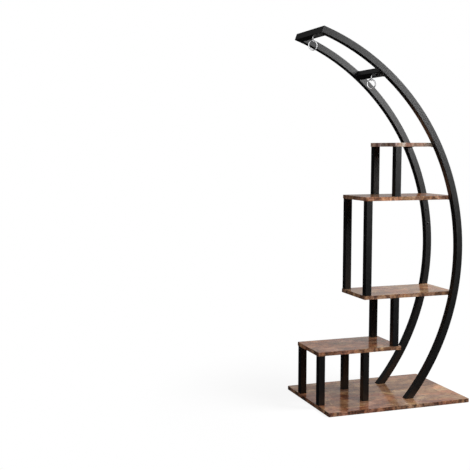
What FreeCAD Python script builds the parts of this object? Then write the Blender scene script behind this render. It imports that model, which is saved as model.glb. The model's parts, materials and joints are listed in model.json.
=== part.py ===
import FreeCAD, Part
import math
import os

from FreeCAD import Placement, Rotation, Vector

# Driving dimensions, in millimetres and degrees.
# +Z is up, +X points to the bulge of the arches, -Y to the front.
# The origin is the middle of the base board's underside.

# Boards
board_thickness = 15.0
board_corner_radius = 4.0
board_edge_radius = 1.2
base_length = 600.0
base_depth = 400.0
shelf_depth = 200.0
step_shelf_length = 354.0
post_overhang = 3.5

# Square tube of posts, arches and bars
tube_width = 26.0
tube_wall = 1.2
tube_corner_radius = 1.5
least_corner_radius = 0.8
plug_clearance = 0.1

# Posts: clear height under each shelf, and the place of each pair along the stand
base_post_length = 190.0
mid_post_length = 190.0
long_post_length = 362.0
top_post_length = 190.0
base_post_spacing = 186.0
mid_post_inset = 13.0
long_post_setback = 121.0
top_post_advance = 119.5

# Arches: radius of the outer face, height of the centre, angles up from the horizontal
arch_radius = 891.0
arch_centre_height = 584.0
arch_side_gap = 0.8
arch_seam_angle = 8.0
arch_tip_angle = 71.0
hook_bar_angle = 51.5

# Sleeve inside each arch at the seam
sleeve_length = 120.0
sleeve_wall = 1.5
sleeve_screw_spacing = 56.0

# Threaded fasteners
thread_diameter = 6.0
thread_clearance = 0.05
board_hole_clearance = 0.2
bolt_head_diameter = 12.0
bolt_head_height = 3.0
bolt_head_sink = 0.3
bolt_socket_width = 4.0
bolt_socket_depth = 2.0
plug_height = 12.0
insert_diameter = 9.0
insert_length = 10.0
thread_end_room = 1.0

# Button-head screws of the sleeves
sleeve_screw_diameter = 4.0
sleeve_screw_head_diameter = 7.6
sleeve_screw_head_height = 2.2
sleeve_screw_crown_radius = 1.5
sleeve_screw_socket_width = 2.5
sleeve_screw_socket_depth = 1.2

# Angle brackets under the shelves, and their screws
bracket_width = 12.0
bracket_reach = 24.0
bracket_drop = 14.0
bracket_thickness = 2.0
bracket_end_margin = 0.5
bracket_bend_radius = 1.0
bracket_screw_diameter = 3.6
bracket_screw_head_diameter = 7.0
bracket_screw_head_height = 2.2
bracket_screw_crown_radius = 1.1
bracket_screw_bite = 10.0

# Rings and the eyes that carry them
ring_outer_diameter = 39.0
ring_wire = 5.0
ring_top_drop = 11.0
link_clearance = 0.6
link_rest_gap = 0.4
eye_wire = 2.6
eye_shank_diameter = 4.4
eye_shank_clearance = 0.1
eye_shank_inside = 7.0
eye_front_shift = 20.0

# Levels of the boards, from the floor up
base_top = board_thickness
step_bottom = base_top + base_post_length
step_top = step_bottom + board_thickness
lower_bottom = step_top + mid_post_length
lower_top = lower_bottom + board_thickness
upper_bottom = lower_top + long_post_length
upper_top = upper_bottom + board_thickness
top_bottom = upper_top + top_post_length

# Places worked out from the sizes above
half_tube = tube_width / 2
tube_bore = tube_width - 2 * tube_wall
bore_corner_radius = max(tube_corner_radius - tube_wall, least_corner_radius)
base_end_x = base_length / 2
post_y = shelf_depth / 2 - half_tube
step_end_x = -base_end_x + step_shelf_length
outer_base_post_x = -base_end_x + post_overhang + half_tube
inner_base_post_x = outer_base_post_x + base_post_spacing
mid_post_x = step_end_x - mid_post_inset - half_tube
long_post_x = mid_post_x - long_post_setback
top_post_x = long_post_x + top_post_advance
arch_inner_y = shelf_depth / 2 + arch_side_gap
arch_middle_y = arch_inner_y + half_tube
arch_outer_y = arch_inner_y + tube_width
arch_centre = Vector(base_end_x - arch_radius, 0, arch_centre_height)
arch_line_radius = arch_radius - half_tube
arch_turn_axis = Vector(0, -1, 0)
up = Vector(0, 0, 1)
thread_hole_diameter = thread_diameter + 2 * thread_clearance
sleeve_screw_hole_diameter = sleeve_screw_diameter + 2 * thread_clearance
bracket_screw_hole_diameter = bracket_screw_diameter + 2 * thread_clearance
cut_margin = 10.0
same_place = 0.01

nodes = {}


def arch_x(radius, height):
    return arch_centre.x + math.sqrt(radius ** 2 - (height - arch_centre.z) ** 2)


def arch_point(angle, radius):
    turn = math.radians(angle)
    return arch_centre + Vector(math.cos(turn), 0, math.sin(turn)) * radius


def arc_degrees(length):
    return math.degrees(length / arch_line_radius)


def shelf_end_x(bottom):
    # The end stays inside the arches' outer faces over the board's whole thickness.
    return min(arch_x(arch_radius, bottom), arch_x(arch_radius, bottom + board_thickness))


def rod(diameter, length, foot, direction=up):
    return Part.makeCylinder(diameter / 2, length, foot, direction)


def hexagon(width, depth, foot, direction):
    radius = width / math.sqrt(3)
    corners = [Vector(radius * math.cos(math.radians(60 * i)), radius * math.sin(math.radians(60 * i)), 0)
               for i in range(7)]
    prism = Part.Face(Part.makePolygon(corners)).extrude(up * depth)
    prism.Placement = Placement(foot, Rotation(up, direction))
    return prism


def square_prism(width, radius, length, along):
    # Square bar with rounded long edges: along Z it starts at the origin, along Y it is centred there.
    half = width / 2
    size = Vector(width, width, length) if along == "z" else Vector(width, length, width)
    corner = Vector(-half, -half, 0) if along == "z" else Vector(-half, -length / 2, -half)
    box = Part.makeBox(size.x, size.y, size.z, corner)
    long_edges = [e for e in box.Edges if abs(getattr(e.tangentAt(e.FirstParameter), along)) > 0.9]
    return box.makeFillet(radius, long_edges)


def square_tube(length, along):
    outside = square_prism(tube_width, tube_corner_radius, length, along)
    return outside.cut(square_prism(tube_bore, bore_corner_radius, length, along))


def rounded_square_face(width, radius, centre):
    # Square with round corners in the XY plane.
    half = width / 2
    flat = half - radius
    bulge = flat + radius * math.sqrt(0.5)
    edges = []
    for quarter in range(4):
        turn = Rotation(up, 90 * quarter)
        start, end = Vector(half, -flat, 0), Vector(half, flat, 0)
        middle, finish = Vector(bulge, bulge, 0), Vector(flat, half, 0)
        a, b, c, d = [centre + turn.multVec(point) for point in (start, end, middle, finish)]
        edges.append(Part.LineSegment(a, b).toShape())
        edges.append(Part.Arc(b, c, d).toShape())
    return Part.Face(Part.Wire(edges))


def arch_sweep(width, radius, middle_y, start, end):
    # Square section on the arch's centre line, swept from one angle to another.
    centre = arch_centre + Vector(arch_line_radius, middle_y, 0)
    solid = rounded_square_face(width, radius, centre).revolve(arch_centre, arch_turn_axis, end - start)
    solid.rotate(arch_centre, arch_turn_axis, start)
    return solid


def on_arch(shape, angle):
    # Local Z points outward, local X back towards the foot, local origin on the centre line.
    moved = shape.copy()
    moved.Placement = Placement(arch_point(angle, arch_line_radius), Rotation(Vector(0, 1, 0), 90 - angle))
    return moved


def add(name, *solids):
    nodes[name] = solids[0] if len(solids) == 1 else Part.makeCompound(list(solids))


# Boards

def board(start_x, end_x, depth, bottom):
    box = Part.makeBox(end_x - start_x, depth, board_thickness, Vector(start_x, -depth / 2, bottom))
    upright = [e for e in box.Edges if abs(e.tangentAt(e.FirstParameter).z) > 0.9]
    box = box.makeFillet(board_corner_radius, upright)
    rims = []
    for face in box.Faces:
        if abs(face.normalAt(0, 0).z) > 0.9:
            rims.extend(face.Edges)
    return box.makeFillet(board_edge_radius, rims)


def bolt_hole(x, y, bottom):
    # Through hole with a countersink in the underside.
    shank_radius = thread_diameter / 2 + board_hole_clearance
    mouth_radius = bolt_head_diameter / 2 + board_hole_clearance
    shank = rod(2 * shank_radius, board_thickness, Vector(x, y, bottom))
    mouth = rod(2 * mouth_radius, bolt_head_sink, Vector(x, y, bottom))
    sink = Part.makeCone(mouth_radius, shank_radius, bolt_head_height, Vector(x, y, bottom + bolt_head_sink))
    return shank.fuse([mouth, sink])


def insert_hole(x, y, bottom):
    return rod(insert_diameter + 2 * thread_clearance, insert_length + thread_end_room, Vector(x, y, bottom))


def bolt(x, y, bottom):
    foot = Vector(x, y, bottom + bolt_head_sink)
    head = Part.makeCone(bolt_head_diameter / 2, thread_diameter / 2, bolt_head_height, foot)
    shank = rod(thread_diameter, board_thickness - bolt_head_sink + plug_height - thread_end_room, foot)
    return head.fuse(shank).removeSplitter().cut(hexagon(bolt_socket_width, bolt_socket_depth, foot, up))


# Posts with their plugs, studs and bolts

def post_plug(x, y, bottom):
    width = tube_bore - 2 * plug_clearance
    block = square_prism(width, bore_corner_radius, plug_height, "z")
    block = block.cut(rod(thread_hole_diameter, plug_height, Vector()))
    return block.translate(Vector(x, y, bottom))


def post_pair(x, bottom, length, front_name, back_name):
    for side, name in ((-1, front_name), (1, back_name)):
        post = square_tube(length, "z")
        add(name, post.translate(Vector(x, side * post_y, bottom)))


def post_fixings(tier, places, bottom, length, shelf):
    # Plugs in both ends, bolts up through the board below, studs into inserts in the board above.
    head = bottom + length
    plugs, studs, bolts, inserts = [], [], [], []
    for x, y in places:
        plugs.append(post_plug(x, y, bottom))
        plugs.append(post_plug(x, y, head - plug_height))
        studs.append(rod(thread_diameter, plug_height + insert_length, Vector(x, y, head - plug_height)))
        bolts.append(bolt(x, y, bottom - board_thickness))
        ring = rod(insert_diameter, insert_length, Vector(x, y, head))
        inserts.append(ring.cut(rod(thread_hole_diameter, insert_length, Vector(x, y, head))))
    add(tier + "_post_plugs", *plugs)
    add(tier + "_post_studs", *studs)
    add(tier + "_post_bolts", *bolts)
    add(shelf + "_inserts", *inserts)


def pair_places(*xs):
    return [(x, side * post_y) for x in xs for side in (-1, 1)]


base_places = pair_places(outer_base_post_x, inner_base_post_x)
mid_places = pair_places(mid_post_x)
long_places = pair_places(long_post_x)
top_places = pair_places(top_post_x)

post_pair(outer_base_post_x, base_top, base_post_length, "base_post_outer_front", "base_post_outer_back")
post_pair(inner_base_post_x, base_top, base_post_length, "base_post_inner_front", "base_post_inner_back")
post_pair(mid_post_x, step_top, mid_post_length, "mid_post_front", "mid_post_back")
post_pair(long_post_x, lower_top, long_post_length, "long_post_front", "long_post_back")
post_pair(top_post_x, upper_top, top_post_length, "top_post_front", "top_post_back")
post_fixings("base", base_places, base_top, base_post_length, "step_shelf")
post_fixings("mid", mid_places, step_top, mid_post_length, "lower_shelf")
post_fixings("long", long_places, lower_top, long_post_length, "upper_shelf")
post_fixings("top", top_places, upper_top, top_post_length, "top_shelf")


# Arch feet: a plug cut level like the tube, and a bolt up through the base

foot_bolt_low_x = arch_x(arch_radius - tube_width + tube_wall, base_top + plug_height)
foot_bolt_high_x = arch_x(arch_radius - tube_wall, base_top)
foot_bolt_x = (foot_bolt_low_x + foot_bolt_high_x) / 2
foot_places = [(foot_bolt_x, side * arch_middle_y) for side in (-1, 1)]
foot_start_angle = math.degrees(math.asin((base_top - arch_centre.z) / (arch_radius - tube_width)))
foot_start_angle -= arc_degrees(2 * tube_width)


def slab(bottom, top):
    reach = 2 * base_length
    return Part.makeBox(2 * reach, 2 * reach, top - bottom, Vector(-reach, -reach, bottom))


def foot_plug(side):
    width = tube_bore - 2 * plug_clearance
    end = foot_start_angle + arc_degrees(6 * tube_width)
    block = arch_sweep(width, bore_corner_radius, side * arch_middle_y, foot_start_angle, end)
    block = block.common(slab(base_top, base_top + plug_height)).Solids[0]
    bolt_foot = Vector(foot_bolt_x, side * arch_middle_y, base_top)
    return block.cut(rod(thread_hole_diameter, plug_height, bolt_foot))


add("arch_foot_plugs", foot_plug(-1), foot_plug(1))
add("arch_foot_bolts", *[bolt(x, y, 0) for x, y in foot_places])


# Arches, in a lower and an upper section, with the mitred end bar

end_bar_angle = arch_tip_angle - arc_degrees(half_tube)
sleeve_screw_angles = [arch_seam_angle + sign * arc_degrees(sleeve_screw_spacing / 2) for sign in (-1, 1)]


def mitre_corner(side, keep_bar):
    # Three-cornered prism on one side of the 45 degree cut, in the end bar's local frame.
    tip = Vector(-half_tube - cut_margin, side * (arch_outer_y + cut_margin), -tube_width)
    back = Vector(half_tube + cut_margin, side * (arch_inner_y - cut_margin), -tube_width)
    third = Vector(back.x, tip.y, tip.z) if keep_bar else Vector(tip.x, back.y, tip.z)
    prism = Part.Face(Part.makePolygon([tip, back, third, tip])).extrude(up * 2 * tube_width)
    return on_arch(prism, end_bar_angle)


def sleeve_screw_hole(side, angle, diameter):
    foot = arch_point(angle, arch_line_radius) + Vector(0, side * arch_inner_y, 0)
    length = tube_wall + plug_clearance + sleeve_wall
    return rod(diameter, length, foot, Vector(0, side, 0))


def arch_tube(side, start, end):
    outside = arch_sweep(tube_width, tube_corner_radius, side * arch_middle_y, start, end)
    more = arc_degrees(cut_margin)
    bore = arch_sweep(tube_bore, bore_corner_radius, side * arch_middle_y, start - more, end + more)
    holes = [sleeve_screw_hole(side, angle, sleeve_screw_hole_diameter)
             for angle in sleeve_screw_angles if start < angle < end]
    return outside.cut([bore] + holes)


def arch_lower(side):
    return arch_tube(side, foot_start_angle, arch_seam_angle).cut(slab(-base_length, base_top))


def arch_upper(side):
    tube = arch_tube(side, arch_seam_angle, arch_tip_angle + arc_degrees(cut_margin / 2))
    return tube.cut(mitre_corner(side, False))


def arch_sleeve(side):
    half = arc_degrees(sleeve_length / 2)
    start, end = arch_seam_angle - half, arch_seam_angle + half
    width = tube_bore - 2 * plug_clearance
    inside_width = width - 2 * sleeve_wall
    outside = arch_sweep(width, bore_corner_radius, side * arch_middle_y, start, end)
    more = arc_degrees(cut_margin)
    bore = arch_sweep(inside_width, bore_corner_radius, side * arch_middle_y, start - more, end + more)
    holes = [sleeve_screw_hole(side, angle, sleeve_screw_hole_diameter)
             for angle in sleeve_screw_angles]
    return outside.cut([bore] + holes)


def button_screw(side, angle):
    seat = arch_point(angle, arch_line_radius) + Vector(0, side * arch_inner_y, 0)
    outward = Vector(0, -side, 0)
    head = rod(sleeve_screw_head_diameter, sleeve_screw_head_height, seat, outward)
    crown = [e for e in head.Edges if abs(e.BoundBox.YMin - seat.y) > sleeve_screw_head_height / 2
             and e.BoundBox.YLength < sleeve_screw_head_height / 2]
    head = head.makeFillet(sleeve_screw_crown_radius, crown)
    shank = sleeve_screw_hole(side, angle, sleeve_screw_diameter)
    socket_foot = seat + outward * (sleeve_screw_head_height - sleeve_screw_socket_depth)
    socket = hexagon(sleeve_screw_socket_width, sleeve_screw_socket_depth, socket_foot, outward)
    return head.fuse(shank).removeSplitter().cut(socket)


for side, name in ((-1, "front"), (1, "back")):
    add(name + "_arch_lower", arch_lower(side))
    add(name + "_arch_upper", arch_upper(side))
    add(name + "_arch_sleeve", arch_sleeve(side))
add("arch_sleeve_screws", *[button_screw(side, angle) for side in (-1, 1) for angle in sleeve_screw_angles])


# Crossbars, eyes and rings

ring_line_radius = (ring_outer_diameter - ring_wire) / 2
eye_hole_radius = ring_wire / 2 + link_clearance
eye_line_radius = eye_hole_radius + eye_wire / 2


def eye_root(angle):
    # On the bar's inner face, a little in front of the middle, where the shank leaves it.
    return arch_point(angle, arch_radius - tube_width) - Vector(0, eye_front_shift, 0)


def ring_pivot(angle):
    # Centre of the ring's wire where it hangs in the eye.
    return eye_root(angle) - up * (ring_top_drop + ring_wire / 2)


def shank_hole(angle):
    root = eye_root(angle)
    return rod(eye_shank_diameter + 2 * eye_shank_clearance, tube_width, root - up * half_tube)


def eye(angle):
    centre = ring_pivot(angle) + up * (link_clearance - link_rest_gap)
    loop = Part.makeTorus(eye_line_radius, eye_wire / 2, centre, Vector(1, 0, 0))
    foot = centre + up * eye_line_radius
    shank = rod(eye_shank_diameter, eye_root(angle).z + eye_shank_inside - foot.z, foot)
    return loop.fuse(shank).removeSplitter()


def ring(angle):
    centre = ring_pivot(angle) - up * ring_line_radius
    return Part.makeTorus(ring_line_radius, ring_wire / 2, centre, Vector(0, 1, 0))


def end_bar():
    bar = on_arch(square_tube(2 * arch_outer_y, "y"), end_bar_angle)
    return bar.cut([mitre_corner(-1, True), mitre_corner(1, True), shank_hole(end_bar_angle)])


def hook_bar():
    bar = on_arch(square_tube(2 * arch_inner_y, "y"), hook_bar_angle)
    return bar.cut(shank_hole(hook_bar_angle))


add("end_bar", end_bar())
add("hook_bar", hook_bar())
add("end_eye", eye(end_bar_angle))
add("hook_eye", eye(hook_bar_angle))
add("end_ring", ring(end_bar_angle))
add("hook_ring", ring(hook_bar_angle))


# Angle brackets on the arches' inner sides, under three of the shelves

bracket_screw_y = arch_inner_y - bracket_reach / 2 - bracket_thickness / 2


def bracket_x(bottom):
    # On the arch's side face, and under the board even where the arch leans in.
    under_board = shelf_end_x(bottom) - bracket_end_margin - bracket_width / 2
    return min(arch_x(arch_line_radius, bottom - bracket_drop / 2), under_board)


def bracket_screw_hole(side, bottom, diameter, length):
    foot = Vector(bracket_x(bottom), side * bracket_screw_y, bottom - bracket_thickness)
    return rod(diameter, length, foot)


def bracket(side, bottom):
    start = bracket_x(bottom) - bracket_width / 2
    flat_y = arch_inner_y - bracket_reach
    flat = Part.makeBox(bracket_width, bracket_reach, bracket_thickness,
                        Vector(start, flat_y, bottom - bracket_thickness))
    wall = Part.makeBox(bracket_width, bracket_thickness, bracket_drop,
                        Vector(start, arch_inner_y - bracket_thickness, bottom - bracket_drop))
    angle = flat.fuse(wall).removeSplitter()
    inside = [e for e in angle.Edges
              if abs(e.CenterOfMass.y - arch_inner_y + bracket_thickness) < same_place
              and abs(e.CenterOfMass.z - bottom + bracket_thickness) < same_place]
    angle = angle.makeFillet(bracket_bend_radius, inside)
    if side < 0:
        angle = angle.mirror(Vector(), Vector(0, 1, 0))
    hole = bracket_screw_hole(side, bottom, bracket_screw_hole_diameter, bracket_thickness)
    return angle.cut(hole)


def bracket_screw(side, bottom):
    shank = bracket_screw_hole(side, bottom, bracket_screw_diameter, bracket_thickness + bracket_screw_bite)
    seat = Vector(bracket_x(bottom), side * bracket_screw_y, bottom - bracket_thickness)
    head = rod(bracket_screw_head_diameter, bracket_screw_head_height, seat, -up)
    rim = [e for e in head.Edges if e.BoundBox.ZMax < seat.z - bracket_screw_head_height / 2]
    head = head.makeFillet(bracket_screw_crown_radius, rim)
    return head.fuse(shank).removeSplitter()


# The boards, drilled for what enters them

def drilled(blank, bolts_at, inserts_at, bottom, on_brackets):
    tools = [bolt_hole(x, y, bottom) for x, y in bolts_at]
    tools += [insert_hole(x, y, bottom) for x, y in inserts_at]
    if on_brackets:
        length = bracket_thickness + bracket_screw_bite + thread_end_room
        tools += [bracket_screw_hole(side, bottom, bracket_screw_hole_diameter, length) for side in (-1, 1)]
    return blank.cut(tools)


long_start_x = long_post_x - half_tube - post_overhang
top_start_x = top_post_x - half_tube - post_overhang
base_blank = board(-base_end_x, base_end_x, base_depth, 0)
step_blank = board(-base_end_x, step_end_x, shelf_depth, step_bottom)
lower_blank = board(long_start_x, shelf_end_x(lower_bottom), shelf_depth, lower_bottom)
upper_blank = board(long_start_x, shelf_end_x(upper_bottom), shelf_depth, upper_bottom)
top_blank = board(top_start_x, shelf_end_x(top_bottom), shelf_depth, top_bottom)
add("base_board", drilled(base_blank, base_places + foot_places, [], 0, False))
add("step_shelf", drilled(step_blank, mid_places, base_places, step_bottom, False))
add("lower_shelf", drilled(lower_blank, long_places, mid_places, lower_bottom, True))
add("upper_shelf", drilled(upper_blank, top_places, long_places, upper_bottom, True))
add("top_shelf", drilled(top_blank, [], top_places, top_bottom, True))

for shelf, bottom in (("lower", lower_bottom), ("upper", upper_bottom), ("top", top_bottom)):
    add(shelf + "_shelf_brackets", *[bracket(side, bottom) for side in (-1, 1)])
    add(shelf + "_shelf_screws", *[bracket_screw(side, bottom) for side in (-1, 1)])

os.makedirs("parts", exist_ok=True)
for name, shape in nodes.items():
    shape.exportStep("parts/" + name + ".step")
for name, angle in (("end ring", end_bar_angle), ("hook ring", hook_bar_angle)):
    pivot = ring_pivot(angle)
    print(name, "pivot", round(pivot.x, 3), round(pivot.y, 3), round(pivot.z, 3))
print(len(nodes), "nodes written")
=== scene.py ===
import json
import math

import bpy
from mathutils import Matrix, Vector


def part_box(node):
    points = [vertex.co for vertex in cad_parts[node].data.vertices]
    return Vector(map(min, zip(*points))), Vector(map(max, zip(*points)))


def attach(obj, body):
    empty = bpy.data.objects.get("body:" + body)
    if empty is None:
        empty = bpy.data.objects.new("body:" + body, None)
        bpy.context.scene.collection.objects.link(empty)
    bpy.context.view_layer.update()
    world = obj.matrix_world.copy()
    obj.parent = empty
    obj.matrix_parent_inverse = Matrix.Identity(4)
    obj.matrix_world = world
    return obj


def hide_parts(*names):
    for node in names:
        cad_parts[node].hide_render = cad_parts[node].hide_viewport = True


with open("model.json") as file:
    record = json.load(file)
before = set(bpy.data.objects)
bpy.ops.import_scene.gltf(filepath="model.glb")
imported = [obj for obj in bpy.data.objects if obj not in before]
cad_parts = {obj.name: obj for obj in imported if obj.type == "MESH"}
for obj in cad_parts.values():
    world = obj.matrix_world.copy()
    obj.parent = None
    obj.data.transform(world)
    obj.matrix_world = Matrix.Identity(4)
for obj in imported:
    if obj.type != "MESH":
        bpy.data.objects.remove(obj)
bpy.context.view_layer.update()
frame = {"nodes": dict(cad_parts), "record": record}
nodes = frame["nodes"]
slotOf = {part["node"]: part["material_slot"] for part in frame["record"]["subparts"]}
print("frame loaded,", len(nodes), "nodes")

mixFactor, mixFirst, mixSecond, mixResult = 0, 6, 7, 2  # sockets of a Mix node that blends colours
noiseMiddle = 0.5


def opaque(colour):
    return (*colour, 1.0)


# Sockets as values: sums and products of wires add their own Math nodes
class Wire:
    def __init__(self, tree, socket=None):
        self.tree = tree
        self.socket = socket

    # Settings go in first, then the value or the link of each socket
    def node(self, kind, values=None, out=0, **settings):
        made = self.tree.nodes.new(kind)
        for name, value in settings.items():
            if name == "stops":
                self.setStops(made.color_ramp.elements, value)
            else:
                setattr(made, name, value)
        for name, value in (values or {}).items():
            if isinstance(value, Wire):
                self.tree.links.new(value.socket, made.inputs[name])
            else:
                made.inputs[name].default_value = value
        return Wire(self.tree, made.outputs[out] if len(made.outputs) else None)

    def setStops(self, elements, stops):
        while len(elements) < len(stops):
            elements.new(1.0)
        for element, (place, colour) in zip(elements, stops):
            element.position = place
            element.color = opaque(colour)

    def sibling(self, out):  # another output of the same node
        return Wire(self.tree, self.socket.node.outputs[out])

    def split(self):  # the X, Y and Z of a vector
        parts = self.node("ShaderNodeSeparateXYZ", {"Vector": self})
        return [parts.sibling(axis) for axis in "XYZ"]

    def maths(self, operation, *values):
        return self.node("ShaderNodeMath", dict(enumerate(values)), operation=operation)

    def __add__(self, other):
        return self.maths("ADD", self, other)

    def __sub__(self, other):
        return self.maths("SUBTRACT", self, other)

    def __rsub__(self, other):
        return self.maths("SUBTRACT", other, self)

    def __mul__(self, other):
        return self.maths("MULTIPLY", self, other)

    def __truediv__(self, other):
        return self.maths("DIVIDE", self, other)

    def __rtruediv__(self, other):
        return self.maths("DIVIDE", other, self)

    def __neg__(self):
        return self.maths("MULTIPLY", self, -1.0)

    def __abs__(self):
        return self.maths("ABSOLUTE", self)

    __radd__ = __add__
    __rmul__ = __mul__

    def larger(self, other):
        return self.maths("MAXIMUM", self, other)

    def smaller(self, other):
        return self.maths("MINIMUM", self, other)

    def band(self, low, high):  # 0 below low, 1 above high, smooth between
        values = {"Value": self, "From Min": low, "From Max": high}
        return self.node("ShaderNodeMapRange", values, interpolation_type="SMOOTHSTEP")

    def blend(self, first, second, how="MIX"):  # this wire says how much of the second colour
        values = {mixFactor: self, mixFirst: first, mixSecond: second}
        return self.node("ShaderNodeMix", values, out=mixResult, data_type="RGBA", blend_type=how)

    def stretched(self, scale, shift=(0, 0, 0)):
        return self.node("ShaderNodeMapping", {"Vector": self, "Location": shift, "Scale": scale})

    def noise(self, detail, roughness, distortion=0.0):
        values = {"Vector": self, "Scale": 1.0, "Detail": detail, "Roughness": roughness,
                  "Distortion": distortion}
        return self.node("ShaderNodeTexNoise", values)

    def layer(self, shift, cells, noise, levels):  # noise in stretched cells, cut to its levels
        return self.stretched(cells, shift).noise(*noise).band(*levels)


def newFinish(name):
    material = bpy.data.materials.new(name)
    material.use_nodes = True
    material.node_tree.nodes.clear()
    return material, Wire(material.node_tree)


def principled(wire, values):
    surface = wire.node("ShaderNodeBsdfPrincipled", values)
    wire.node("ShaderNodeOutputMaterial", {"Surface": surface})


def dress(node, material):
    skin = nodes[node].data.materials
    skin.clear()
    skin.append(material)


# Rustic boards: streaked brown laminate with burls and knots, the edge bands blotched and duller
darkWood = (0.036, 0.016, 0.009)
boardLook = {
    "waver": {"cells": (4.0, 9.0, 9.0), "noise": (2.0, 0.5), "depth": 0.035},  # how the grain sways
    "layers": {  # cells per metre, noise detail, roughness and distortion, levels; the grain runs along X
        "hearts": {"cells": (2.4, 7.5, 7.5), "noise": (5.0, 0.6), "levels": (0.28, 0.72)},
        "streaks": {"cells": (6.0, 34.0, 34.0), "noise": (5.0, 0.65), "levels": (0.30, 0.70)},
        "lines": {"cells": (5.0, 240.0, 240.0), "noise": (3.0, 0.6), "levels": (0.30, 0.70)},
        "fibres": {"cells": (9.0, 700.0, 700.0), "noise": (2.0, 0.6), "levels": (0.25, 0.75)},
        "burls": {"cells": (10.0, 18.0, 18.0), "noise": (6.0, 0.66, 0.6), "levels": (0.36, 0.64)},
        "mottles": {"cells": (55.0, 30.0, 30.0), "noise": (3.0, 0.6, 0.3), "levels": (0.36, 0.64)},
        "pores": {"cells": (38.0, 1000.0, 1000.0), "noise": (1.0, 0.5), "levels": (0.60, 0.68)},
        "cracks": {"cells": (4.0, 110.0, 110.0), "noise": (2.0, 0.5), "levels": (0.66, 0.73)},
    },
    "bandLayers": {  # these don't waver with the grain
        "blots": {"cells": (44.0, 44.0, 16.0), "noise": (3.0, 0.6, 0.4), "levels": (0.38, 0.62)},
        "flecks": {"cells": (90.0, 90.0, 260.0), "noise": (2.0, 0.6), "levels": (0.30, 0.70)},
    },
    "topMix": {"hearts": 0.16, "burls": 0.24, "mottles": 0.10, "streaks": 0.13, "lines": 0.17,
               "fibres": 0.20},
    "bandMix": {"blots": 0.36, "burls": 0.16, "flecks": 0.20, "lines": 0.12},
    "flatFacing": (0.80, 0.97),  # how straight up or down a face looks, from the band to the flat
    "knots": {
        "cells": (4.2, 8.0, 8.0),
        "lot": (0.66, 0.68),  # cells whose draw is above this carry a knot
        "size": (0.03, 0.11),
        "fray": 0.06,
        "haloSize": (0.05, 0.30),
        "haloFray": 0.10,
    },
    "haloDepth": 0.22,
    "poreDepth": 0.16,
    "tones": [(0.12, darkWood), (0.30, (0.104, 0.045, 0.022)), (0.48, (0.228, 0.102, 0.048)),
              (0.66, (0.350, 0.176, 0.084)), (0.86, (0.500, 0.290, 0.145))],
    "patchNoise": (6.0, 0.62, 0.9),
    "patchStep": 11.3,  # each patch pattern is cut this much further on
    "patches": [  # pale, red and dark areas of the print, and grey areas of painted sheen
        {"cells": (7.0, 11.0, 11.0), "levels": (0.51, 0.58), "share": 0.80, "tint": (1.62, 1.90, 2.00)},
        {"cells": (5.0, 8.0, 8.0), "levels": (0.48, 0.55), "share": 0.70, "tint": (1.18, 0.86, 0.84)},
        {"cells": (11.0, 15.0, 15.0), "levels": (0.57, 0.64), "share": 0.50, "tint": (0.45, 0.43, 0.46)},
        # grey areas: patchy sheen painted into the colour
        {"cells": (8.0, 10.0, 10.0), "levels": (0.50, 0.56), "share": 0.60, "tint": (0.98, 1.08, 1.45)},
    ],
    "knotColour": (0.020, 0.009, 0.005),
    "knotShare": 0.8,
    "crackShare": 0.8,
    "rimWidth": (0.0006, 0.0034),
    "rimShare": 0.60,
    "rimShadeSpread": (0.4, 0.6),  # painted shade along the rims of the tops: an even part, and a part in flecks
    "topRoughness": 0.13,
    "roughness": {"band": 0.35, "fibres": 0.05, "cracks": 0.25},  # on top of the top's own
    "relief": {"fibres": 0.3, "lines": 0.5, "cracks": -0.8, "knots": -0.3},
    "reliefStrength": 0.15,
    "reliefDepth": 0.0002,
}
plainBand = (1.0, 1.0, 1.0)
# pale grey tint for the top shelf's edge band: painted sheen
paintedSheenBand = (1.06, 1.33, 1.95)
boards = {  # where each is cut from the pattern; how pale its top is, partly its tone and partly painted sheen; its edge band's tone with painted light that grows with the board's height; the band's tint, on the top shelf a painted sheen
    "base_board": {"shift": (0.0, 0.0, 0.0), "topToneAndPaintedSheen": 0.115, "bandToneAndPaintedLight": -0.01, "bandSheenTint": plainBand},
    "step_shelf": {"shift": (7.4, 8.8, 0.0), "topToneAndPaintedSheen": 0.125, "bandToneAndPaintedLight": 0.11, "bandSheenTint": plainBand},
    "lower_shelf": {"shift": (3.4, 6.2, 0.0), "topToneAndPaintedSheen": 0.170, "bandToneAndPaintedLight": 0.10, "bandSheenTint": plainBand},
    "upper_shelf": {"shift": (5.1, 9.3, 0.0), "topToneAndPaintedSheen": 0.105, "bandToneAndPaintedLight": 0.15, "bandSheenTint": plainBand},
    "top_shelf": {"shift": (6.8, 12.4, 0.0), "topToneAndPaintedSheen": 0.115, "bandToneAndPaintedLight": 0.31, "bandSheenTint": paintedSheenBand},
}


def waveringGrain(place, shift):
    waver = boardLook["waver"]
    sway = place.stretched(waver["cells"], shift).noise(*waver["noise"]).sibling("Color")
    sway = place.node("ShaderNodeVectorMath", {0: sway, 1: (noiseMiddle,) * 3}, operation="SUBTRACT")
    sway = place.node("ShaderNodeVectorMath", {0: sway, "Scale": waver["depth"]}, operation="SCALE")
    return place.node("ShaderNodeVectorMath", {0: place, 1: sway}, operation="ADD")


def knotLayers(grain, layers, shift):  # halos and knots, in the cells that are drawn for one
    look = boardLook["knots"]
    values = {"Vector": grain.stretched(look["cells"], shift), "Scale": 1.0}
    far = grain.node("ShaderNodeTexVoronoi", values, feature="F1")
    lot = grain.node("ShaderNodeSeparateColor", {"Color": far.sibling("Color")}).band(*look["lot"])
    halos = 1 - (far + (layers["streaks"] - noiseMiddle) * look["haloFray"]).band(*look["haloSize"])
    knots = 1 - (far + (layers["burls"] - noiseMiddle) * look["fray"]).band(*look["size"])
    return halos * lot, knots * lot


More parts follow.
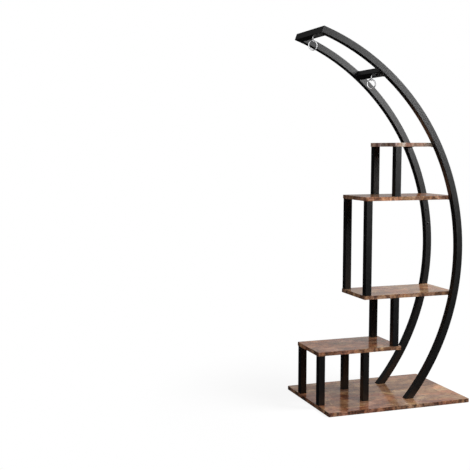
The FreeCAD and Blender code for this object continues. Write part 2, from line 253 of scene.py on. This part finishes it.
def rimInset(place, low, high):  # how far in from the nearest rim
    along, across = place.split()[:2]
    fromEnd = (high[0] - low[0]) / 2 - abs(along - (low[0] + high[0]) / 2)
    fromSide = (high[1] - low[1]) / 2 - abs(across - (low[1] + high[1]) / 2)
    return fromEnd.smaller(fromSide)


def mixed(layers, shares, total):  # shares of layers, added to a first value
    for key, share in shares.items():
        total = total + layers[key] * share
    return total


def rusticBoard(name, board, low, high):
    look, shift = boardLook, board["shift"]
    material, wire = newFinish(name)
    place = wire.node("ShaderNodeTexCoord", out="Object")
    upright = wire.node("ShaderNodeTexCoord", out="Normal").split()[2]
    flat = abs(upright).band(*look["flatFacing"])
    band = 1 - flat
    grain = waveringGrain(place, shift)
    layers = {key: grain.layer(shift, **layer) for key, layer in look["layers"].items()}
    layers.update({key: place.layer(shift, **layer) for key, layer in look["bandLayers"].items()})
    layers["cracks"] = layers["cracks"] * (1 - layers["hearts"]) * layers["streaks"]
    halos, layers["knots"] = knotLayers(grain, layers, shift)
    layers["band"] = band
    # the top's tone starts from its lift: partly the board's tone, partly painted sheen
    topTone = mixed(layers, look["topMix"], board["topToneAndPaintedSheen"]) - layers["pores"] * look["poreDepth"]
    # the band's tone starts from its lift, which carries painted light: paler on higher boards
    bandTone = mixed(layers, look["bandMix"], board["bandToneAndPaintedLight"])
    tone = topTone * flat + bandTone * band - halos * look["haloDepth"]
    colour = wire.node("ShaderNodeValToRGB", {"Fac": tone}, stops=look["tones"])
    for index, patch in enumerate(look["patches"]):
        offset = tuple(part + look["patchStep"] * (index + 1) for part in shift)
        mask = grain.layer(offset, patch["cells"], look["patchNoise"], patch["levels"])
        colour = (mask * patch["share"]).blend(colour, opaque(patch["tint"]), "MULTIPLY")
    # the band's tint; on the top shelf it is a painted sheen
    colour = band.blend(colour, opaque(board["bandSheenTint"]), "MULTIPLY")
    colour = (layers["knots"] * look["knotShare"]).blend(colour, opaque(look["knotColour"]))
    colour = (layers["cracks"] * look["crackShare"]).blend(colour, opaque(darkWood))
    # a dark rim round each top: painted edge shade, even and in flecks
    evenRimShade, fleckRimShade = look["rimShadeSpread"]
    rimShadeAmount = (evenRimShade + layers["flecks"] * fleckRimShade) * flat
    rim = (1 - rimInset(place, low, high).band(*look["rimWidth"])) * rimShadeAmount
    colour = (rim * look["rimShare"]).blend(colour, opaque(darkWood))
    relief = mixed(layers, look["relief"], 0.0)
    bump = wire.node("ShaderNodeBump", {"Strength": look["reliefStrength"], "Distance": look["reliefDepth"],
                                        "Height": relief})
    roughness = mixed(layers, look["roughness"], look["topRoughness"])
    principled(wire, {"Base Color": colour, "Roughness": roughness, "Normal": bump})
    return material


for node, board in boards.items():
    dress(node, rusticBoard("rustic " + node.replace("_", " "), board, *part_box(node)))
print("boards finished:", len(boards))

# Black powder coat: satin, with a fine orange-peel skin
coatLook = {
    "colour": (0.0018, 0.0018, 0.0019),
    "tints": (1.0, 1.5),  # of the darker and the lighter spots
    "spots": 60.0,  # per metre
    "spotNoise": (3.0, 0.5),
    "roughness": (0.384, 0.08),  # least, and what the spots add
    "own": {"Specular IOR Level": 1.00},
    "peel": {"cells": 900.0, "noise": (2.0, 0.5), "strength": 0.12, "depth": 0.00008},
}
# Plated metals: bright wire of the rings, zinc of the bolts, bare steel inside the tubes
metalLook = {"tints": (0.82, 1.0), "spotNoise": (3.0, 0.55), "own": {"Metallic": 1.0}}
finishLooks = {
    "bright_metal": {"colour": (0.80, 0.80, 0.81), "spots": 140.0, "roughness": (0.26, 0.12), **metalLook},
    "zinc_steel": {"colour": (0.56, 0.57, 0.60), "spots": 320.0, "roughness": (0.26, 0.12), **metalLook},
    "bare_steel": {"colour": (0.33, 0.33, 0.34), "spots": 90.0, "roughness": (0.36, 0.12), **metalLook},
    "black_powder_coat": coatLook,
}
spotLevels = (0.3, 0.7)


def orangePeel(place, peel):
    height = place.stretched((peel["cells"],) * 3).noise(*peel["noise"])
    values = {"Strength": peel["strength"], "Distance": peel["depth"], "Height": height}
    return place.node("ShaderNodeBump", values)


def spottedFinish(name, look):
    material, wire = newFinish(name.replace("_", " "))
    place = wire.node("ShaderNodeTexCoord", out="Object")
    spots = place.stretched((look["spots"],) * 3).noise(*look["spotNoise"])
    darker, lighter = (opaque(tint * part for part in look["colour"]) for tint in look["tints"])
    least, added = look["roughness"]
    colour = spots.band(*spotLevels).blend(darker, lighter)
    values = {"Base Color": colour, "Roughness": spots * added + least}
    if "peel" in look:
        values["Normal"] = orangePeel(place, look["peel"])
    principled(wire, {**values, **look["own"]})
    return material


finishes = {name: spottedFinish(name, look) for name, look in finishLooks.items()}
for node, slot in slotOf.items():
    if slot in finishes:
        dress(node, finishes[slot])
print("metal finished:", ", ".join(finishes))


# Geometry nodes: a tree has its sizes as named inputs and is grown into a plain mesh
def newTree(name, sizes):
    tree = bpy.data.node_groups.new(name, "GeometryNodeTree")
    tree.interface.new_socket("Geometry", in_out="INPUT", socket_type="NodeSocketGeometry")
    for size in sizes:
        tree.interface.new_socket(size, in_out="INPUT", socket_type="NodeSocketFloat")
    tree.interface.new_socket("finish", in_out="INPUT", socket_type="NodeSocketMaterial")
    tree.interface.new_socket("Geometry", in_out="OUTPUT", socket_type="NodeSocketGeometry")
    wire = Wire(tree)
    given = wire.node("NodeGroupInput").socket.node.outputs
    return wire, {socket.name: Wire(tree, socket) for socket in given}


def endTree(wire, given, shape):  # edges bent more than the crisp angle stay crisp
    bend = wire.node("GeometryNodeInputMeshEdgeAngle")
    crisp = wire.node("FunctionNodeCompare", {"A": bend, "B": given["crispAngle"]}, operation="GREATER_THAN")
    shape = wire.node("GeometryNodeRealizeInstances", {"Geometry": shape})
    shape = wire.node("GeometryNodeSetShadeSmooth", {"Geometry": shape, "Shade Smooth": True}, domain="FACE")
    sharp = {"Geometry": shape, "Selection": crisp, "Shade Smooth": False}
    shape = wire.node("GeometryNodeSetShadeSmooth", sharp, domain="EDGE")
    shape = wire.node("GeometryNodeSetMaterial", {"Geometry": shape, "Material": given["finish"]})
    wire.node("NodeGroupOutput", {"Geometry": shape})
    return wire.tree


def grow(name, tree, sizes, slot, start=None):
    piece = bpy.data.objects.new(name, start or bpy.data.meshes.new(name))
    bpy.context.scene.collection.objects.link(piece)
    modifier = piece.modifiers.new("grow", "NODES")
    modifier.node_group = tree
    values = {**sizes, "finish": finishes[slot]}
    for socket in tree.interface.items_tree:
        if socket.in_out == "INPUT" and socket.name in values:
            modifier[socket.identifier] = values[socket.name]
    grown = piece.evaluated_get(bpy.context.evaluated_depsgraph_get())
    mesh = bpy.data.meshes.new_from_object(grown)
    piece.modifiers.remove(modifier)
    piece.data = mesh
    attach(piece, "stand")
    return piece


def vector(wire, **parts):
    return wire.node("ShaderNodeCombineXYZ", parts)


# Arches: square tube bent to one circle, feet cut level, tips mitred to the end bar
tubeWidth = 0.026
archRadius = 0.878  # of the tube's middle line
archTip = math.radians(71)
archRule = {
    "lineRadius": archRadius,
    "centreX": -0.591,
    "centreZ": 0.584,
    "width": tubeWidth,
    "corner": 0.0015,
    "innerY": 0.1008,
    "footLevel": 0.015,
    "seamAngle": math.radians(8),
    "seamGap": 0.0001,
    "barAngle": archTip - tubeWidth / 2 / archRadius,  # of the end bar's middle line
    "crispAngle": math.radians(10),
}
archSteps = 97
cornerSteps = 4


def archTree():
    wire, given = newTree("bent square tube", [*archRule, "side", "upper"])
    square = {"Width": given["width"], "Height": given["width"]}
    outline = wire.node("GeometryNodeCurvePrimitiveQuadrilateral", square)
    rounded = {"Curve": outline, "Count": cornerSteps, "Radius": given["corner"]}
    outline = wire.node("GeometryNodeFilletCurve", rounded, mode="POLY")
    line = wire.node("GeometryNodeCurvePrimitiveLine", {"Start": (0, 0, 0), "End": (0, 0, 1)})
    line = wire.node("GeometryNodeResampleCurve", {"Curve": line, "Count": archSteps})
    bar = {"Curve": line, "Profile Curve": outline, "Fill Caps": True}
    bar = wire.node("GeometryNodeCurveToMesh", bar)
    across, beside, along = wire.node("GeometryNodeInputPosition").split()
    reach = across + given["lineRadius"]
    depth = beside + given["side"] * (given["innerY"] + given["width"] * 0.5)
    lap = given["width"] * 0.5 + given["innerY"] - abs(depth)
    foot = wire.maths("ARCSINE", (given["footLevel"] - given["centreZ"]) / reach)
    mitre = given["barAngle"] - wire.maths("ARCSINE", lap / reach)
    gap = given["seamGap"] / reach
    start = foot * (1 - given["upper"]) + (given["seamAngle"] + gap) * given["upper"]
    end = (given["seamAngle"] - gap) * (1 - given["upper"]) + mitre * given["upper"]
    angle = start + along * (end - start)
    bent = vector(wire, X=given["centreX"] + reach * wire.maths("COSINE", angle), Y=depth,
                  Z=given["centreZ"] + reach * wire.maths("SINE", angle))
    bar = wire.node("GeometryNodeSetPosition", {"Geometry": bar, "Position": bent})
    return endTree(wire, given, bar)


bentTube = archTree()
for end, side in (("front", -1.0), ("back", 1.0)):
    for section, upper in (("lower", 0.0), ("upper", 1.0)):
        node = f"{end}_arch_{section}"
        tube = grow(node + ".tube", bentTube, {**archRule, "side": side, "upper": upper}, slotOf[node])
        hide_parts(node)
print("arches bent, faces in each section:", len(tube.data.polygons))

# Bracket screws: pan heads with a cross recess, a pair under each shelf that the arches carry
carriedShelves = ("lower", "upper", "top")
screwRule = {
    "headRadius": 0.0035,
    "headHeight": 0.0022,
    "shankRadius": 0.0018,
    "shankLength": 0.0120,
    "crossLength": 0.0038,
    "crossWidth": 0.0009,
    "crossDepth": 0.0011,
    "crispAngle": math.radians(35),
}
screwFaces = {"around": 32, "dome": 24, "shank": 20}
screwSeed = 5


def screwHead(wire, given):
    ball = {"Segments": screwFaces["around"], "Rings": screwFaces["dome"], "Radius": 1.0}
    ball = wire.node("GeometryNodeMeshUVSphere", ball)
    x, y, z = wire.node("GeometryNodeInputPosition").split()
    dome = wire.maths("SQRT", (-z).larger(0.0))
    shaped = vector(wire, X=x * given["headRadius"], Y=y * given["headRadius"],
                    Z=-(dome * given["headHeight"]))
    head = wire.node("GeometryNodeSetPosition", {"Geometry": ball, "Position": shaped})
    crown = vector(wire, Z=-given["headHeight"])
    for long, short in ("XY", "YX"):
        blade = {long: given["crossLength"], short: given["crossWidth"], "Z": given["crossDepth"] * 2.0}
        blade = wire.node("GeometryNodeMeshCube", {"Size": vector(wire, **blade)})
        blade = wire.node("GeometryNodeTransform", {"Geometry": blade, "Translation": crown})
        cut = {"Mesh 1": head, "Mesh 2": blade}
        head = wire.node("GeometryNodeMeshBoolean", cut, operation="DIFFERENCE", solver="EXACT")
    return head


def screwTree():
    wire, given = newTree("pan head screws", [*screwRule, "seatX", "seatY", "seatZ"])
    head = screwHead(wire, given)
    shank = {"Vertices": screwFaces["shank"], "Radius": given["shankRadius"], "Depth": given["shankLength"]}
    shank = wire.node("GeometryNodeMeshCylinder", shank)
    lift = vector(wire, Z=given["shankLength"] * 0.5)
    shank = wire.node("GeometryNodeTransform", {"Geometry": shank, "Translation": lift})
    screw = wire.node("GeometryNodeJoinGeometry", {"Geometry": head})
    wire.tree.links.new(shank.socket, screw.socket.node.inputs["Geometry"])
    first = vector(wire, X=given["seatX"], Y=-given["seatY"], Z=given["seatZ"])
    step = vector(wire, Y=given["seatY"] * 2.0)
    seats = wire.node("GeometryNodeMeshLine", {"Count": 2, "Start Location": first, "Offset": step})
    turn = {"Min": (0, 0, 0), "Max": (0, 0, math.pi / 2), "Seed": screwSeed}
    turn = wire.node("FunctionNodeRandomValue", turn, data_type="FLOAT_VECTOR")
    turn = wire.node("FunctionNodeEulerToRotation", {"Euler": turn})
    pair = {"Points": seats, "Instance": screw, "Rotation": turn}
    pair = wire.node("GeometryNodeInstanceOnPoints", pair)
    return endTree(wire, given, pair)


panScrew = screwTree()
for shelf in carriedShelves:
    node = shelf + "_shelf_screws"
    low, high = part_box(node)
    seat = {
        "seatX": (low[0] + high[0]) / 2,
        "seatY": high[1] - screwRule["headRadius"],
        "seatZ": low[2] + screwRule["headHeight"],
    }
    pair = grow(node + ".pan", panScrew, {**screwRule, **seat}, slotOf[node])
    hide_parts(node)
print("bracket screws set, faces in each pair:", len(pair.data.polygons))

# Weld beads: round both ends of the hook bar, and down the sides of the bracket plates
weldRule = {
    "bead": 0.0015,
    "pitch": 0.0019,
    "ripple": 0.16,
    "corner": 0.0018,
    "spacing": 0.0005,
    "crispAngle": math.radians(60),
}
beadSides = 10
hookAngle = math.radians(51.5)
plateInset = (0.0010, 0.0035)  # bead ends, from the plate's lower and upper end


def hookCorners(y):  # corners of the hook bar where it meets an arch
    half = tubeWidth / 2
    cos, sin = math.cos(hookAngle), math.sin(hookAngle)
    corners = []
    for out, on in ((-half, -half), (half, -half), (half, half), (-half, half)):
        reach = archRadius + out
        corners.append((archRule["centreX"] + reach * cos - on * sin, y,
                        archRule["centreZ"] + reach * sin + on * cos))
    return corners


def weldPaths():
    points, edges = [], []
    for y in (-archRule["innerY"], archRule["innerY"]):
        first = len(points)
        points += hookCorners(y)
        edges += [(first + corner, first + (corner + 1) % 4) for corner in range(4)]
        for shelf in carriedShelves:
            low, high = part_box(shelf + "_shelf_brackets")
            for x in (low[0], high[0]):
                edges.append((len(points), len(points) + 1))
                points += [(x, y, low[2] + plateInset[0]), (x, y, high[2] - plateInset[1])]
    mesh = bpy.data.meshes.new("weld paths")
    mesh.from_pydata(points, edges, [])
    return mesh


def weldTree():
    wire, given = newTree("rippled bead", weldRule)
    path = wire.node("GeometryNodeMeshToCurve", {"Mesh": given["Geometry"]})
    rounded = {"Curve": path, "Count": cornerSteps, "Radius": given["corner"]}
    path = wire.node("GeometryNodeFilletCurve", rounded, mode="POLY")
    path = wire.node("GeometryNodeResampleCurve", {"Curve": path, "Length": given["spacing"]}, mode="LENGTH")
    run = wire.node("GeometryNodeSplineParameter", out="Length")
    wave = wire.maths("SINE", run / given["pitch"] * math.tau)
    size = given["bead"] * (1 + wave * given["ripple"])
    ring = wire.node("GeometryNodeCurvePrimitiveCircle", {"Resolution": beadSides, "Radius": 1.0})
    bead = {"Curve": path, "Profile Curve": ring, "Scale": size, "Fill Caps": True}
    bead = wire.node("GeometryNodeCurveToMesh", bead)
    return endTree(wire, given, bead)


welds = grow("weld_beads", weldTree(), weldRule, "black_powder_coat", weldPaths())
print("weld beads laid, faces:", len(welds.data.polygons))

# Studio: white to the camera; gloss sees a white backdrop behind on the right and little elsewhere
studio = {
    "white": (1.0, 1.0, 1.0),
    "ambient": 0.25,
    "backdropEdge": (0.20, 0.45),  # directions: how far to the right, to the back and up it begins
    "backdropTurn": (0.0, 0.3),
    "backdropFoot": (-0.04, 0.145),
    "backdropGlow": 0.52,
    "skyFoot": (0.10, 0.35),
    "skyGlow": 0.11,
    "darkGloss": 0.012,
    "floorSize": 16.0,
    "floorColour": (0.80, 0.80, 0.80),
    "floorShade": 0.18,  # how much of the floor's own light and shadow shows
    "floorLift": 0.89,
    "floorFade": (0.45, 1.00),  # where the floor turns to plain white
}


def rays(wire):  # rays that the camera sees, straight or through glass, and rays of gloss
    path = wire.node("ShaderNodeLightPath")
    seen = path.sibling("Is Camera Ray").larger(path.sibling("Is Transmission Ray"))
    return seen, path.sibling("Is Glossy Ray")


def makeWorld():
    world = bpy.data.worlds.new("studio")
    bpy.context.scene.world = world
    world.use_nodes = True
    world.node_tree.nodes.clear()
    wire = Wire(world.node_tree)
    seen, gloss = rays(wire)
    right, back, up = wire.node("ShaderNodeTexCoord", out="Generated").split()
    backdrop = right.band(*studio["backdropEdge"]) * back.band(*studio["backdropTurn"])
    backdrop = backdrop * up.band(*studio["backdropFoot"])
    sky = up.band(*studio["skyFoot"]) * studio["skyGlow"]
    glossLight = (backdrop * studio["backdropGlow"]).larger(sky).larger(studio["darkGloss"])
    strength = seen.larger(gloss * glossLight + (1 - gloss) * studio["ambient"])
    light = wire.node("ShaderNodeBackground", {"Color": opaque(studio["white"]), "Strength": strength})
    wire.node("ShaderNodeOutputWorld", {"Surface": light})


def paleFloor():
    material, wire = newFinish("pale floor")
    place = wire.node("ShaderNodeTexCoord", out="Object")
    reach = wire.node("ShaderNodeVectorMath", {0: place}, out="Value", operation="LENGTH")
    seen = rays(wire)[0]
    shade = studio["floorShade"]
    matt = wire.node("ShaderNodeBsdfDiffuse", {"Color": opaque(studio["floorColour"])})
    lift = wire.node("ShaderNodeEmission", {"Strength": seen * (studio["floorLift"] / shade)})
    white = wire.node("ShaderNodeEmission", {"Strength": 1.0})
    black = wire.node("ShaderNodeEmission", {"Strength": 0.0})
    near = wire.node("ShaderNodeAddShader", {0: matt, 1: lift})
    near = wire.node("ShaderNodeMixShader", {0: seen * (1 - shade), 1: near, 2: black})
    far = reach.band(*studio["floorFade"]) * seen
    surface = wire.node("ShaderNodeMixShader", {0: far, 1: near, 2: white})
    wire.node("ShaderNodeOutputMaterial", {"Surface": surface})
    return material


def makeFloor():
    half = studio["floorSize"] / 2
    corners = [(-half, -half, 0), (half, -half, 0), (half, half, 0), (-half, half, 0)]
    mesh = bpy.data.meshes.new("floor")
    mesh.from_pydata(corners, [], [(0, 1, 2, 3)])
    mesh.materials.append(paleFloor())
    floor = bpy.data.objects.new("floor", mesh)
    bpy.context.scene.collection.objects.link(floor)
    floor.visible_glossy = False


# Key box for the black tube; the boards have a broad panel and the bright rings a white card of their own
ringWire = [node for node, slot in slotOf.items() if slot == "bright_metal"]
softBoxes = {
    "key box": {
        "place": (1.203, -0.757, 1.841), "target": (0, 0, 0.8), "size": (1.064, 1.338), "glow": 12.5,
        "nodes": [*ringWire, *boards], "link": "EXCLUDE", "mirrored": True,
    },
    "board panel": {
        "place": (1.42, -0.86, 2.25), "target": (0, 0, 0.5), "size": (4.5, 4.5), "glow": 2.1,
        "nodes": boards, "link": "INCLUDE", "mirrored": False,  # mirrored, it whitens the tops from behind
    },
    "ring card": {
        "place": (-0.70, -1.05, 1.30), "target": (-0.17, 0, 1.30), "size": (3.0, 3.0), "glow": 1.8,
        "nodes": ringWire, "link": "INCLUDE", "mirrored": True,
    },
}


def aim(thing, place, target):
    thing.location = place
    thing.rotation_euler = (Vector(target) - Vector(place)).to_track_quat("-Z", "Y").to_euler()


def softBox(name, box):
    light = bpy.data.lights.new(name, "AREA")
    light.shape = "RECTANGLE"
    light.size, light.size_y = box["size"]
    light.energy = box["glow"] * math.pi * light.size * light.size_y
    lamp = bpy.data.objects.new(name, light)
    bpy.context.scene.collection.objects.link(lamp)
    lamp.visible_camera = False
    lamp.visible_glossy = box["mirrored"]
    aim(lamp, box["place"], box["target"])
    lit = bpy.data.collections.new(name + " receivers")
    for node in box["nodes"]:
        lit.objects.link(nodes[node])
    for row in lit.collection_objects:
        row.light_linking.link_state = box["link"]
    lamp.light_linking.receiver_collection = lit


makeWorld()
makeFloor()
for name, box in softBoxes.items():
    softBox(name, box)
print("studio lit with", len(softBoxes), "soft boxes")

# Camera: where the photograph was taken from
shot = {
    "place": (-1.64634, -3.06875, 0.99198),
    "yaw": 18.880,
    "pitch": 5.742,
    "focalPixels": 878.374,
    "imagePixels": 470.0,
    "sensor": 36.0,
}
lens = bpy.data.cameras.new("camera")
lens.sensor_width = shot["sensor"]
lens.lens = shot["focalPixels"] * shot["sensor"] / shot["imagePixels"]
camera = bpy.data.objects.new("camera", lens)
bpy.context.scene.collection.objects.link(camera)
camera.location = shot["place"]
camera.rotation_euler = (math.radians(90 - shot["pitch"]), 0, math.radians(-shot["yaw"]))
bpy.context.scene.camera = camera
bpy.context.scene.view_settings.view_transform = "Standard"
print("camera set")
